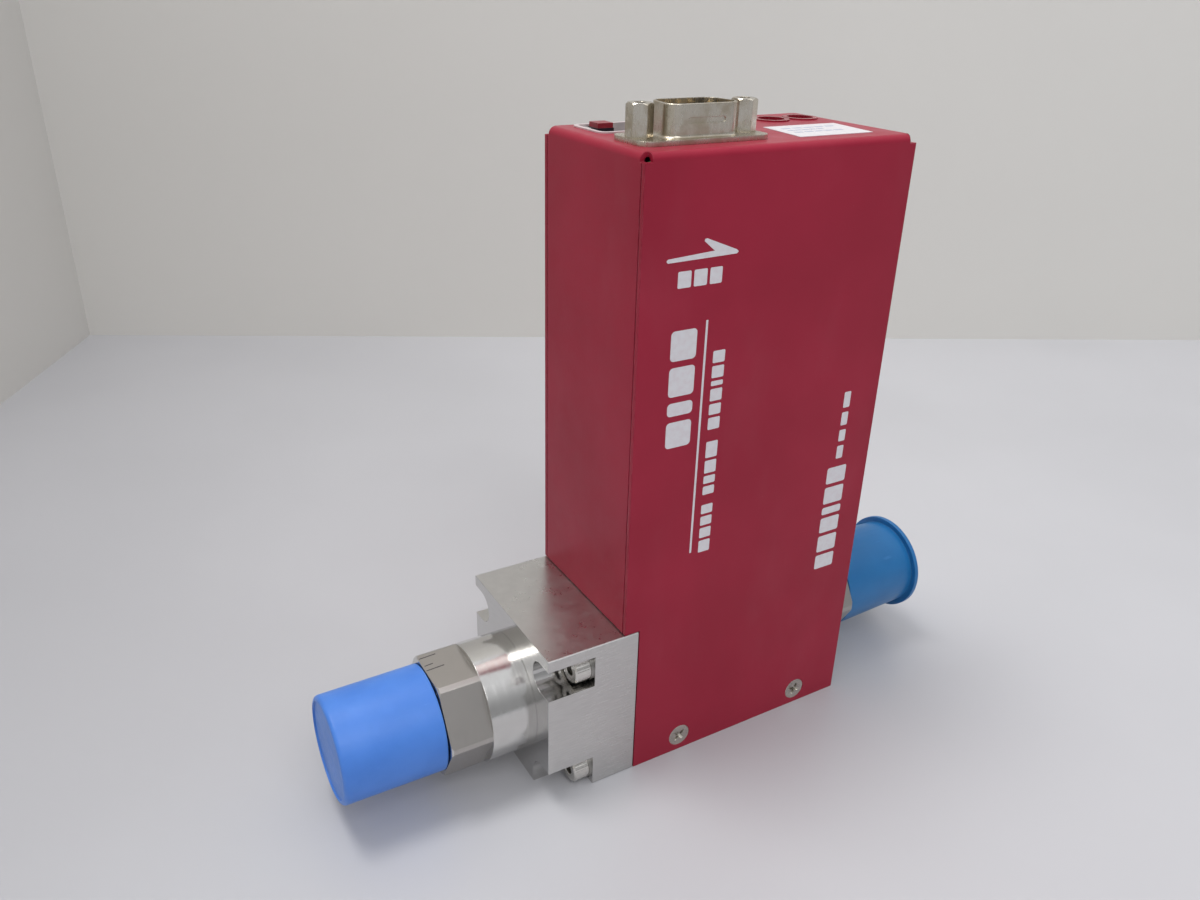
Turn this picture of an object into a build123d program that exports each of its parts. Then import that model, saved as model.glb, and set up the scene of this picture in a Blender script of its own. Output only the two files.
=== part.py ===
from build123d import *
import os
from math import radians, tan

# Mass flow controller. Sizes in millimetres: +X runs with the gas, +Y to the back, +Z up.
# The origin lies on the underside, below the middle of the cover.

# Cover, one bent sheet
cover_length = 69.0
cover_width = 39.8
cover_height = 148.0
sheet = 1.0
bend_radius = 1.6
corner_relief = 1.8
seam_gap = 0.3
panel_gap = 0.3

# Gas blocks and the line of flow
block_height = 40.8
flow_height = 19.6
inlet_block_length = 23.4
joint_inset = 3.7
base_setback = 1.2
block_fit = 0.1
block_chamfer = 0.25
bore_radius = 5.1
spigot_radius = 9.5
spigot_length = 8.0
spigot_fit = 0.02

# Long screws of the inlet block, in U slots open to the side
long_screw_low = 4.2
long_screw_rise = 29.6
long_screw_edge = 3.7
slot_radius = 4.1
slot_depth = 12.0
washer_thickness = 0.8
washer_radius = 3.65
long_screw_radius = 2.0
long_screw_head_radius = 3.5
long_screw_head_height = 4.0
long_screw_grip = 8.0
long_screw_key = 3.0

# Cover screws
cover_screw_height = 4.35
cover_screw_inset = 17.5
cover_screw_pitch = 37.6
countersink_radius = 3.0
countersink_depth = 1.65
screw_sink = 0.05
small_screw_radius = 1.5
small_screw_grip = 6.0
small_head_radius = 2.75
small_head_height = 1.8
small_key = 2.0
thread_fit = 0.05

# Threaded mounting holes in the underside
mount_pitch_x = 25.0
mount_pitch_y = 20.0
mount_hole_radius = 1.65
mount_hole_depth = 6.0

# Face-seal fittings, turned from one bar each
bar_radius = 14.3
hex_across = 25.4
inlet_bar_length = 11.1
inlet_hex_length = 10.1
outlet_neck_radius = 12.0
outlet_hex_length = 10.0
hex_chamfer = 0.4
undercut_radius = 10.3
undercut_length = 2.0
thread_radius = 11.1
thread_length = 15.5
thread_chamfer = 0.9
nose_radius = 9.6
nose_length = 3.3
seal_bead_radius = 0.5
seal_bead_ring = 7.2

# Protective caps, pushed over the threads
cap_gap = 0.3
cap_edge = 1.0
cap_mouth_play = 0.5
cap_end_play = 0.1
inlet_cap_length = 23.7
inlet_cap_mouth = 12.7
inlet_cap_end = 12.5
inlet_cap_dish = 11.3
inlet_cap_dish_depth = 0.4
cap_end_wall = 1.0
outlet_cap_length = 25.7
outlet_cap_mouth = 12.8
outlet_cap_end = 12.1
outlet_cap_lip = 13.6
outlet_cap_lip_length = 1.2

# Joint of the two blocks: metal ring and sintered disc
gasket_outer = 10.2
gasket_inner = 9.2
gasket_thickness = 1.0
gasket_fit = 0.1
filter_radius = 8.0
filter_thickness = 3.0
filter_fit = 0.05

# Laminar flow element in the base bore
element_radius = 8.95
element_length = 20.0
element_fit = 0.05
element_slots = 16
element_slot_width = 0.8
element_slot_depth = 2.4
element_ring_width = 2.0
element_chamber = 5.0
tap_inset = 3.8
tap_pitch = 19.0
tap_radius = 1.0

# Thermal sensor above the two taps
sensor_base_size = (24.0, 18.0, 6.0)
sensor_seal_radius = 2.2
sensor_seal_inner = 1.2
sensor_seal_height = 0.8
sensor_seal_fit = 0.05
sensor_screw_pitch = (17.5, 12.4)
sensor_tube_radius = 0.5
sensor_tube_bore = 0.3
sensor_tube_fit = 0.03
sensor_tube_rise = 22.0
sensor_tube_bend = 2.0
winding_radius = 1.1
winding_length = 5.0
winding_gap = 1.2
sensor_housing_width = 6.6
sensor_housing_height = 29.0
sensor_housing_wall = 1.2

# Control valve with a stack actuator
valve_place = 12.0
pocket_radius = 11.0
pocket_depth = 8.0
riser_offset = 7.5
riser_radius = 2.0
cross_duct_radius = 3.0
drop_radius = 2.5
seat_radius = 4.8
seat_height = 2.0
seat_lip = 0.4
spacer_wall = 1.3
spacer_height = 2.7
diaphragm_thickness = 0.3
valve_fit = 0.05
valve_flange = 24.0
valve_flange_height = 6.0
valve_screw_pitch = 18.4
valve_body_radius = 10.0
valve_body_height = 72.0
valve_bore_radius = 7.5
plunger_radius = 5.0
plunger_height = 6.0
stack_width = 10.0
stack_length = 58.0
adjuster_radius = 6.0
adjuster_height = 6.0
nut_across = 16.0
nut_height = 4.0

# Boards
board_thickness = 1.6
main_board_length = 62.0
main_board_back = 17.1
main_board_low = 46.0
top_board_drop = 6.4
top_board_size = (64.0, 34.0)
bracket_sheet = 1.2
bracket_length = 20.0
bracket_left = -22.0
bracket_foot = 6.9
bracket_height = 22.0
bracket_hole_inset = 3.0
bracket_foot_screw_y = 14.2
board_screw_rise = 16.0
board_screw_head = 1.6
header_size = (20.0, 4.0, 6.2)

# Nine-way D connector
connector_place = (-16.1, -8.15)
flange_size = (30.81, 12.55)
flange_thickness = 1.0
flange_corner = 2.5
shell_width = 17.9
shell_depth = 9.5
shell_slant = 10.0
shell_corner = 2.8
shell_wall = 0.5
shell_root = 0.6
shell_rim = 0.2
shell_rise = 7.3
insulator_fit = 0.05
insulator_face = 1.4
cover_opening_fit = 0.3
pin_pitch = 2.77
pin_row_pitch = 2.84
pin_radius = 0.5
pin_tip_below_rim = 0.9
pin_fit = 0.03
pin_tail = 1.0
lock_pitch = 24.99
lock_across = 4.75
lock_height = 6.4
lock_chamfer = 0.35
lock_thread_radius = 1.15
lock_thread_depth = 5.0
lock_stud_radius = 1.4
lock_stud_fit = 0.15
lock_nut_height = 2.4
dimple_size = (9.0, 1.1)
dimple_depth = 0.25
dimple_drop = 3.1

# Window in the top, with what stands in it
window_place = (-21.25, 10.5)
window_rim_size = (17.5, 13.2)
window_rim_corner = 2.3
window_rim_width = 1.0
window_rim_height = 0.3
window_skirt = 0.5
window_skirt_depth = 1.6
window_fit = 0.05
socket_place = (-24.5, 13.3)
socket_width = 4.0
socket_neck_width = 2.4
socket_neck_height = 0.6
shunt_width = 3.7
shunt_height = 1.0
pipe_place = (-27.4, 14.9)
pipe_size = (1.6, 2.2)
pipe_below_top = 0.2

# Red cup plugs in the two round holes
plug_places = ((27.7, 10.4), (19.0, 10.2))
plug_hole_radius = 3.6
plug_fit = 0.05
plug_lip = 0.6
plug_lip_height = 0.3
plug_wall = 0.5
plug_depth = 4.0

half_length = cover_length / 2
half_width = cover_width / 2
top_inside = cover_height - sheet
joint_x = -half_length + joint_inset
inlet_face_x = joint_x - inlet_block_length
base_end_x = half_length - base_setback
base_half_width = half_width - sheet - block_fit
slot_seat_x = inlet_face_x + slot_depth
long_screw_y = half_width - long_screw_edge
long_screw_heights = (long_screw_low, long_screw_low + long_screw_rise)
cover_screw_xs = (-half_length + cover_screw_inset, -half_length + cover_screw_inset + cover_screw_pitch)
tap_xs = (joint_x + tap_inset, joint_x + tap_inset + tap_pitch)
sensor_x = sum(tap_xs) / 2
chamber_end_x = joint_x + element_length + element_chamber
pocket_floor = block_height - pocket_depth
diaphragm_low = pocket_floor + spacer_height
diaphragm_top = diaphragm_low + diaphragm_thickness
top_board_high = cover_height - top_board_drop
top_board_low = top_board_high - board_thickness
main_board_front = main_board_back - board_thickness
flange_top = cover_height + flange_thickness
shell_top = flange_top - flange_thickness + shell_rise
sensor_base_top = block_height + sensor_base_size[2]


def block(x0, x1, y0, y1, z0, z1):
    """Straight block between six planes."""
    centre = Pos((x0 + x1) / 2, (y0 + y1) / 2, (z0 + z1) / 2)
    return centre * Box(abs(x1 - x0), abs(y1 - y0), abs(z1 - z0))


def post(radius, z0, z1, x=0.0, y=0.0):
    """Round bar along Z."""
    return Pos(x, y, (z0 + z1) / 2) * Cylinder(radius, z1 - z0)


def bar(radius, x0, x1, y=0.0, z=0.0):
    """Round bar along X."""
    return Pos((x0 + x1) / 2, y, z) * Rot(0, 90, 0) * Cylinder(radius, x1 - x0)


def hex_post(across, z0, z1, turn=0.0):
    """Hexagonal bar along Z; turned 0 its corners point along X."""
    outline = RegularPolygon(across / 2, 6, major_radius=False, rotation=turn)
    return Pos(0, 0, z0) * extrude(outline, z1 - z0)


def turned(points):
    """Solid turned about X from (x, radius) corners."""
    outline = Polyline([(x, 0, radius) for x, radius in points], close=True)
    return revolve(make_face(outline), Axis.X)


def plate(width, depth, corner, z0, z1):
    """Flat plate with rounded corners, centred on Z."""
    return Pos(0, 0, z0) * extrude(RectangleRounded(width, depth, corner), z1 - z0)


def socket_screw(shank, grip, head, height, key):
    """Cap screw with a hexagon socket; its head stands up from Z = 0."""
    screw = post(shank, -grip, 0) + chamfer(post(head, 0, height).edges().sort_by(Axis.Z)[-1], 0.3)
    return screw - hex_post(key, height / 2, height)


def countersunk_screw(head, depth, shank, grip):
    """Flat-headed screw; the flat of its head lies on Z = 0."""
    points = [(0, 0), (0, head), (-depth, shank), (-grip, shank), (-grip, 0)]
    return Rot(0, -90, 0) * turned(points)


def group(solids):
    """Several like solids as one node."""
    return Compound(children=list(solids))


def arch(width, height, radius):
    """Face of an upright rectangle standing on the line, its two upper corners rounded."""
    face = Pos(0, height / 2) * Rectangle(width, height)
    return fillet(face.vertices().group_by(Axis.Y)[-1], radius)


def bent_arch(width, plane, reach):
    """Sheet bent down twice, seen as an arch in the plane and reaching both ways from it."""
    section = arch(width, cover_height, bend_radius)
    section -= arch(width - 2 * sheet, top_inside, bend_radius - sheet)
    return extrude(plane * section, reach, both=True)


def d_outline():
    """Outline of the plug shell: wide towards the front, its two ends drawn in."""
    front = shell_width / 2
    back = front - shell_depth * tan(radians(shell_slant))
    half = shell_depth / 2
    face = make_face(Polyline([(-front, -half), (front, -half), (back, half), (-back, half)], close=True))
    return fillet(face.vertices(), shell_corner)


def at_connector():
    return Pos(connector_place[0], connector_place[1], 0)


def lock_places():
    """The two screw locks, either side of the shell."""
    return [Pos(connector_place[0] + side * lock_pitch / 2, connector_place[1], 0) for side in (-1, 1)]


def pin_places():
    """Five contacts in the front row and four in the back row."""
    places = []
    for count, y in ((5, -pin_row_pitch / 2), (4, pin_row_pitch / 2)):
        for i in range(count):
            x = (i - (count - 1) / 2) * pin_pitch
            places.append(Pos(connector_place[0] + x, connector_place[1] + y, 0))
    return places


def window_outline(inset, corner):
    width, depth = window_rim_size
    return Pos(*window_place) * RectangleRounded(width - 2 * inset, depth - 2 * inset, corner)


def make_cover():
    """One sheet: front, top and back in one bend, a panel bent down at each end."""
    cover = bent_arch(cover_width, Plane.YZ, half_length)
    ends = bent_arch(cover_length, Plane.XZ, half_width - sheet - seam_gap)
    far = 1.0
    relief_low = cover_height - corner_relief
    panel_low = block_height + panel_gap
    for side in (-1, 1):
        bend = side * (half_length - corner_relief)
        beyond = side * (half_length + far)
        cover -= block(bend, beyond, -half_width - far, half_width + far, relief_low, cover_height + far)
        panel = ends & block(bend, beyond, -half_width, half_width, panel_low, cover_height)
        for edge in (-1, 1):
            relief_y = edge * (half_width - corner_relief)
            panel -= block(bend, beyond, relief_y, edge * half_width, relief_low, cover_height)
        cover += panel
    notch_x = joint_x + panel_gap
    cover -= block(-half_length - far, notch_x, -half_width - far, half_width + far, -far, panel_low)

    for x in cover_screw_xs:
        for turn in (90, -90):
            cover -= cover_screw_location(x, turn) * screw_pocket()

    top_low, top_high = top_inside - far, cover_height + far
    opening = offset(d_outline(), cover_opening_fit)
    cover -= at_connector() * Pos(0, 0, top_low) * extrude(opening, top_high - top_low)
    for place in lock_places():
        cover -= place * post(lock_stud_radius + lock_stud_fit, top_low, top_high)
    skirt = window_rim_width - window_skirt - window_fit
    window = window_outline(skirt, window_rim_corner - skirt)
    cover -= Pos(0, 0, top_low) * extrude(window, top_high - top_low)
    for x, y in plug_places:
        cover -= post(plug_hole_radius, top_low, top_high, x, y)
    return cover


def cover_screw_location(x, turn):
    """Turn 90 looks out of the front panel, -90 out of the back panel."""
    side = -1 if turn > 0 else 1
    return Pos(x, side * (half_width - screw_sink), cover_screw_height) * Rot(turn, 0, 0)


def screw_pocket():
    """Room for a cover screw, through the sheet and into the base."""
    head = countersink_radius + thread_fit
    shank = small_screw_radius + thread_fit
    out = 1.0
    points = [(out, 0), (out, head), (0, head), (-countersink_depth, shank)]
    points += [(-small_screw_grip - thread_fit, shank), (-small_screw_grip - thread_fit, 0)]
    return Rot(0, -90, 0) * turned(points)


def make_cover_screws():
    screw = countersunk_screw(countersink_radius, countersink_depth, small_screw_radius, small_screw_grip)
    return group(cover_screw_location(x, turn) * screw for x in cover_screw_xs for turn in (90, -90))


def make_base_block():
    """Bored block that carries the cover, the sensor and the valve."""
    base = block(joint_x, base_end_x, -base_half_width, base_half_width, 0, block_height)
    base = chamfer(base.edges().filter_by(Axis.X), block_chamfer)

    base -= bar(gasket_outer + gasket_fit, joint_x, joint_x + gasket_thickness, z=flow_height)
    base -= bar(element_radius + element_fit, joint_x, chamber_end_x, z=flow_height)
    riser_x = valve_place - riser_offset
    base -= bar(cross_duct_radius, chamber_end_x, riser_x, z=flow_height)
    base -= post(riser_radius, flow_height, pocket_floor, riser_x)
    base -= post(pocket_radius, pocket_floor, block_height, valve_place)
    base -= post(drop_radius, flow_height, pocket_floor, valve_place)
    base -= bar(bore_radius, valve_place - drop_radius, base_end_x, z=flow_height)
    base -= bar(spigot_radius + spigot_fit, base_end_x - spigot_length, base_end_x, z=flow_height)

    for x in tap_xs:
        base -= post(tap_radius, flow_height, block_height, x)
        base -= post(sensor_seal_radius + sensor_seal_fit, block_height - sensor_seal_height, block_height, x)
    for place in sensor_screw_places() + valve_screw_places() + foot_screw_places():
        base -= place * post(small_screw_radius + thread_fit, block_height - small_screw_grip, block_height)
    for x in cover_screw_xs:
        for turn in (90, -90):
            base -= cover_screw_location(x, turn) * screw_pocket()
    for y in (-long_screw_y, long_screw_y):
        for z in long_screw_heights:
            base -= bar(long_screw_radius + thread_fit, joint_x, joint_x + long_screw_grip + thread_fit, y, z)
    for x in (-mount_pitch_x / 2, mount_pitch_x / 2):
        for y in (-mount_pitch_y / 2, mount_pitch_y / 2):
            base -= post(mount_hole_radius, 0, mount_hole_depth, x, y)
    return base


def make_inlet_block():
    """Block as deep as the cover, with four slots for the long screws."""
    inlet = block(inlet_face_x, joint_x, -half_width, half_width, 0, block_height)
    inlet = chamfer(inlet.edges().filter_by(Axis.X), block_chamfer)
    for side in (-1, 1):
        y = side * long_screw_y
        edge = side * half_width
        low, high = long_screw_heights
        for z in (low, high):
            inlet -= bar(slot_radius, inlet_face_x, slot_seat_x, y, z)
            inlet -= block(inlet_face_x, slot_seat_x, y, edge, z - slot_radius, z + slot_radius)
            inlet -= bar(long_screw_radius + thread_fit, slot_seat_x, joint_x, y, z)
        inlet -= block(inlet_face_x, slot_seat_x, y - side * slot_radius, edge, 0, low)
    inlet -= bar(spigot_radius + spigot_fit, inlet_face_x, inlet_face_x + spigot_length, z=flow_height)
    inlet -= bar(bore_radius, inlet_face_x, joint_x, z=flow_height)
    inlet -= bar(filter_radius + filter_fit, joint_x - filter_thickness, joint_x, z=flow_height)
    return inlet


def make_inlet_screws():
    length = joint_x - slot_seat_x + washer_thickness + long_screw_grip
    screw = Rot(0, -90, 0) * socket_screw(
        long_screw_radius, length, long_screw_head_radius, long_screw_head_height, long_screw_key)
    x = slot_seat_x - washer_thickness
    return group(Pos(x, y, z) * screw for y in (-long_screw_y, long_screw_y) for z in long_screw_heights)


def make_inlet_washers():
    x = slot_seat_x - washer_thickness
    washer = bar(washer_radius, x, slot_seat_x) - bar(long_screw_radius + thread_fit, x, slot_seat_x)
    return group(Pos(0, y, z) * washer for y in (-long_screw_y, long_screw_y) for z in long_screw_heights)


def make_inlet_gasket():
    ring = bar(gasket_outer, joint_x, joint_x + gasket_thickness, z=flow_height)
    return ring - bar(gasket_inner, joint_x, joint_x + gasket_thickness, z=flow_height)


def make_inlet_filter():
    return bar(filter_radius, joint_x - filter_thickness, joint_x, z=flow_height)


def fitting(root_radius, root_length, hex_length):
    """Fitting that starts on X = 0 and points along +X, with its spigot behind."""
    hex_start = root_length
    hex_end = root_length + hex_length
    body = turned([(0, 0), (0, root_radius), (hex_start, root_radius), (hex_start, 0)])
    hexagon = extrude(Plane.YZ * RegularPolygon(hex_across / 2, 6, major_radius=False, rotation=0), hex_end)
    rim = turned([(hex_start, 0), (hex_start, bar_radius), (hex_end - hex_chamfer, bar_radius),
                  (hex_end, bar_radius - hex_chamfer), (hex_end, 0)])
    body += rim & hexagon
    thread_start = hex_end + undercut_length
    thread_end = thread_start + thread_length
    nose_end = thread_end + nose_length
    body += turned([(hex_end, 0), (hex_end, undercut_radius), (thread_start, undercut_radius),
                    (thread_start + thread_chamfer, thread_radius), (thread_end - thread_chamfer, thread_radius),
                    (thread_end, thread_radius - thread_chamfer), (thread_end, nose_radius),
                    (nose_end, nose_radius), (nose_end, 0)])
    bead = Pos(nose_end, 0, 0) * Rot(0, 90, 0) * Torus(seal_bead_ring, seal_bead_radius)
    body += bead
    body += bar(spigot_radius, -spigot_length, 0)
    return body - bar(bore_radius, -spigot_length, nose_end + seal_bead_radius)


def make_inlet_fitting():
    """The bar runs whole from the block to the hexagon."""
    return Pos(inlet_face_x, 0, flow_height) * Rot(0, 0, 180) * fitting(
        bar_radius, inlet_bar_length, inlet_hex_length)


def make_outlet_fitting():
    """The hexagon starts at the cover's edge, on a short neck."""
    return Pos(base_end_x, 0, flow_height) * fitting(outlet_neck_radius, base_setback, outlet_hex_length)


def cap(length, mouth, flank):
    """Cap along +X with its mouth on X = 0; flank holds its outer corners past the mouth."""
    inner_end = length - cap_end_wall
    points = [(0, thread_radius + cap_mouth_play), (0, mouth)] + flank
    points += [(length, 0), (inner_end, 0), (inner_end, thread_radius + cap_end_play)]
    return turned(points)


def make_inlet_cap():
    """Plain cap with a rounded end and a shallow dish in it."""
    body = cap(inlet_cap_length, inlet_cap_mouth, [(inlet_cap_length, inlet_cap_end)])
    rim = body.edges().filter_by(GeomType.CIRCLE).group_by(Axis.X)[-1].sort_by(SortBy.RADIUS)[-1]
    body = fillet(rim, cap_edge)
    dish = bar(inlet_cap_dish, inlet_cap_length - inlet_cap_dish_depth, inlet_cap_length)
    mouth_x = inlet_face_x - inlet_bar_length - inlet_hex_length - cap_gap
    return Pos(mouth_x, 0, flow_height) * Rot(0, 0, 180) * (body - dish)


def make_outlet_cap():
    """Tapered cap with a pull lip round its closed end."""
    lip_start = outlet_cap_length - outlet_cap_lip_length
    flank = [(lip_start, outlet_cap_end), (lip_start, outlet_cap_lip), (outlet_cap_length, outlet_cap_lip)]
    body = cap(outlet_cap_length, outlet_cap_mouth, flank)
    mouth_x = base_end_x + base_setback + outlet_hex_length + cap_gap
    return Pos(mouth_x, 0, flow_height) * body


def make_bypass_element():
    """Core with straight laminar channels round it and a ring groove below the first tap."""
    start, end = joint_x, joint_x + element_length
    core = bar(element_radius, start, end)
    for i in range(element_slots):
        slot = block(start, end, -element_slot_width / 2, element_slot_width / 2,
                     element_radius - element_slot_depth, element_radius + 1.0)
        core -= Rot(i * 360 / element_slots, 0, 0) * slot
    ring_x = tap_xs[0] - element_ring_width / 2
    ring = bar(element_radius + 1.0, ring_x, ring_x + element_ring_width)
    ring -= bar(element_radius - element_slot_depth / 2, ring_x, ring_x + element_ring_width)
    return Pos(0, 0, flow_height) * (core - ring)


def grid_places(centre_x, pitch_x, pitch_y):
    """Four corners of a rectangle of holes."""
    return [Pos(centre_x + i * pitch_x / 2, j * pitch_y / 2, 0) for i in (-1, 1) for j in (-1, 1)]


def sensor_screw_places():
    return grid_places(sensor_x, *sensor_screw_pitch)


def valve_screw_places():
    return grid_places(valve_place, valve_screw_pitch, valve_screw_pitch)


def foot_screw_places():
    left = bracket_left + bracket_hole_inset
    right = bracket_left + bracket_length - bracket_hole_inset
    return [Pos(x, bracket_foot_screw_y, 0) for x in (left, right)]


def make_sensor_base():
    """Foot with the two tap bores, the tube's seats and four screw holes."""
    length, width, height = sensor_base_size
    foot = block(sensor_x - length / 2, sensor_x + length / 2, -width / 2, width / 2, block_height, sensor_base_top)
    for x in tap_xs:
        foot -= post(sensor_tube_radius + sensor_tube_fit, block_height, sensor_base_top, x)
    for place in sensor_screw_places():
        foot -= place * post(small_screw_radius + thread_fit, block_height, sensor_base_top)
    return foot


def make_sensor_seals():
    low = block_height - sensor_seal_height
    ring = post(sensor_seal_radius, low, block_height) - post(sensor_seal_inner, low, block_height)
    return group(Pos(x, 0, 0) * ring for x in tap_xs)


def small_screws(places, head_low):
    """Cap screws in a row or grid, their heads seated at one height."""
    grip = head_low - block_height + small_screw_grip
    screw = socket_screw(small_screw_radius, grip, small_head_radius, small_head_height, small_key)
    return group(place * Pos(0, 0, head_low) * screw for place in places)


def make_sensor_screws():
    return small_screws(sensor_screw_places(), sensor_base_top)


def make_sensor_tube():
    """Capillary that climbs from one tap, crosses and comes down to the other."""
    left, right = tap_xs
    high = sensor_base_top + sensor_tube_rise
    path = FilletPolyline([(left, 0, block_height), (left, 0, high), (right, 0, high), (right, 0, block_height)],
                          radius=sensor_tube_bend)
    ring = Circle(sensor_tube_radius) - Circle(sensor_tube_bore)
    return sweep(Pos(left, 0, block_height) * ring, path)


def make_sensor_windings():
    """Two heater coils round the tube's crossing."""
    high = sensor_base_top + sensor_tube_rise
    coils = []
    for side in (-1, 1):
        start = sensor_x + side * winding_gap / 2
        end = start + side * winding_length
        low_x, high_x = min(start, end), max(start, end)
        coil = bar(winding_radius, low_x, high_x, z=high)
        coils.append(coil - bar(sensor_tube_radius + sensor_tube_fit, low_x, high_x, z=high))
    return group(coils)


def make_sensor_housing():
    """Can over the sensor tube, open below."""
    length = sensor_base_size[0]
    half = sensor_housing_width / 2
    low, high = sensor_base_top, sensor_base_top + sensor_housing_height
    can = block(sensor_x - length / 2, sensor_x + length / 2, -half, half, low, high)
    can = fillet(can.edges().filter_by(Axis.Z), sensor_housing_wall)
    wall = sensor_housing_wall
    return can - block(sensor_x - length / 2 + wall, sensor_x + length / 2 - wall,
                       -half + wall, half - wall, low, high - wall)


def make_valve_seat():
    """Disc with the orifice and a raised lip round it."""
    floor, top = pocket_floor, pocket_floor + seat_height
    seat = post(seat_radius, floor, top, valve_place)
    seat += post(drop_radius + seat_lip, top, top + seat_lip, valve_place)
    return seat - post(drop_radius, floor, top + seat_lip, valve_place)


def make_valve_spacer():
    """Ring that holds the diaphragm's edge clear of the seat."""
    outer = pocket_radius - valve_fit
    ring = post(outer, pocket_floor, diaphragm_low, valve_place)
    return ring - post(outer - spacer_wall, pocket_floor, diaphragm_low, valve_place)


def make_valve_diaphragm():
    return post(pocket_radius - valve_fit, diaphragm_low, diaphragm_top, valve_place)


def make_valve_housing():
    """Flanged tube: its spigot clamps the diaphragm, its bore takes plunger and stack."""
    half = valve_flange / 2
    flange_high = block_height + valve_flange_height
    housing = block(valve_place - half, valve_place + half, -half, half, block_height, flange_high)
    housing = fillet(housing.edges().filter_by(Axis.Z), bend_radius)
    housing += post(pocket_radius - valve_fit, diaphragm_top, block_height, valve_place)
    housing += post(valve_body_radius, flange_high, block_height + valve_body_height, valve_place)
    housing -= post(valve_bore_radius, diaphragm_top, block_height + valve_body_height, valve_place)
    for place in valve_screw_places():
        housing -= place * post(small_screw_radius + thread_fit, block_height, flange_high)
    return housing


def make_valve_screws():
    return small_screws(valve_screw_places(), block_height + valve_flange_height)


def make_valve_plunger():
    """Disc on the diaphragm with a rounded head for the stack."""
    low, high = diaphragm_top, diaphragm_top + plunger_height
    return fillet(post(plunger_radius, low, high, valve_place).edges().sort_by(Axis.Z)[-1], plunger_height / 4)


def stack_top():
    return diaphragm_top + plunger_height + stack_length


def make_piezo_stack():
    half = stack_width / 2
    low = diaphragm_top + plunger_height
    return block(valve_place - half, valve_place + half, -half, half, low, stack_top())


def make_valve_adjuster():
    """Threaded plug that loads the stack, slotted for a driver."""
    high = block_height + valve_body_height + nut_height + adjuster_height
    plug = post(adjuster_radius, stack_top(), high, valve_place)
    slot = block(valve_place - adjuster_radius, valve_place + adjuster_radius, -0.6, 0.6, high - 1.5, high)
    return plug - slot


def make_valve_lock_nut():
    """Nut that seats on the housing and locks the plug."""
    low = block_height + valve_body_height
    nut = Pos(valve_place, 0, 0) * hex_post(nut_across, low, low + nut_height)
    return nut - post(adjuster_radius + thread_fit, low, low + nut_height, valve_place)


def board_screw_xs():
    return (bracket_left + bracket_hole_inset, bracket_left + bracket_length - bracket_hole_inset)


def make_board_bracket():
    """Bent sheet: a foot on the base and an upright behind the board."""
    right = bracket_left + bracket_length
    back = main_board_back + bracket_sheet
    foot = block(bracket_left, right, back - bracket_foot, back, block_height, block_height + bracket_sheet)
    upright = block(bracket_left, right, main_board_back, back, block_height, block_height + bracket_height)
    bracket = foot + upright
    for place in foot_screw_places():
        bracket -= place * post(small_screw_radius + thread_fit, block_height, block_height + bracket_sheet)
    for x in board_screw_xs():
        bracket -= across_board(small_screw_radius + thread_fit, main_board_back, back, x)
    return bracket


def across_board(radius, y0, y1, x):
    """Round bar along Y at the board screws' height."""
    height = block_height + board_screw_rise
    return Pos(x, (y0 + y1) / 2, height) * Rot(90, 0, 0) * Cylinder(radius, y1 - y0)


def make_bracket_screws():
    return small_screws(foot_screw_places(), block_height + bracket_sheet)


def make_board_screws():
    """Two short screws that hold the main board on its bracket."""
    screws = []
    for x in board_screw_xs():
        shank = across_board(small_screw_radius, main_board_front, main_board_back + bracket_sheet, x)
        head = across_board(small_head_radius, main_board_front - board_screw_head, main_board_front, x)
        screws.append(shank + head)
    return group(screws)


def make_main_board():
    half = main_board_length / 2
    board = block(-half, half, main_board_front, main_board_back, main_board_low, top_board_low)
    for x in board_screw_xs():
        board -= across_board(small_screw_radius + thread_fit, main_board_front, main_board_back, x)
    return board


def make_board_chips():
    """Parts soldered on the board's front: centre x, height, width, rise and thickness of each."""
    chips = ((-17.0, 108.0, 12.0, 12.0, 1.6), (-17.0, 86.0, 10.0, 6.0, 1.8), (20.0, 124.0, 6.0, 9.0, 2.4),
             (2.0, 104.0, 7.0, 5.0, 1.6), (21.0, 98.0, 8.0, 14.0, 2.8), (-4.0, 124.0, 5.0, 4.0, 1.5))
    front = main_board_front
    return group(block(x - w / 2, x + w / 2, front - t, front, z - h / 2, z + h / 2) for x, z, w, h, t in chips)


def make_board_header():
    """Plug strip that joins the upright board to the top board."""
    length, depth, height = header_size
    return block(-length / 2, length / 2, main_board_front - depth, main_board_front,
                 top_board_low - height, top_board_low)


def make_top_board():
    """Level board under the top, pierced by the connector's tails."""
    length, width = top_board_size
    board = block(-length / 2, length / 2, -width / 2, width / 2, top_board_low, top_board_high)
    for place in pin_places():
        board -= place * post(pin_radius + pin_fit, top_board_low, top_board_high)
    return board


def make_connector_shell():
    """Drawn flange and plug shell in one sheet, with a pressed dimple on its front."""
    width, depth = flange_size
    flange = plate(width, depth, flange_corner, cover_height, flange_top)
    for side in (-1, 1):
        flange -= post(lock_stud_radius + lock_stud_fit, cover_height, flange_top, side * lock_pitch / 2)
    outer = d_outline()
    shell = flange + Pos(0, 0, flange_top) * extrude(outer, shell_top - flange_top)
    root = shell.edges().filter_by_position(Axis.Z, flange_top, flange_top)
    root = [edge for edge in root if abs(edge.center().X) < shell_width / 2 + 0.01 and abs(edge.center().Y) < shell_depth / 2 + 0.01]
    shell = fillet(root, shell_root)
    shell = fillet(shell.edges().group_by(Axis.Z)[-1], shell_rim)
    shell -= Pos(0, 0, cover_height) * extrude(offset(outer, -shell_wall), shell_top - cover_height)
    length, height = dimple_size
    tool = SlotOverall(length, height)
    front = -shell_depth / 2
    dimple = Plane(origin=(0, front + dimple_depth, shell_top - dimple_drop), x_dir=(1, 0, 0), z_dir=(0, -1, 0))
    shell -= extrude(dimple * tool, 1.0)
    return at_connector() * shell


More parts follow.
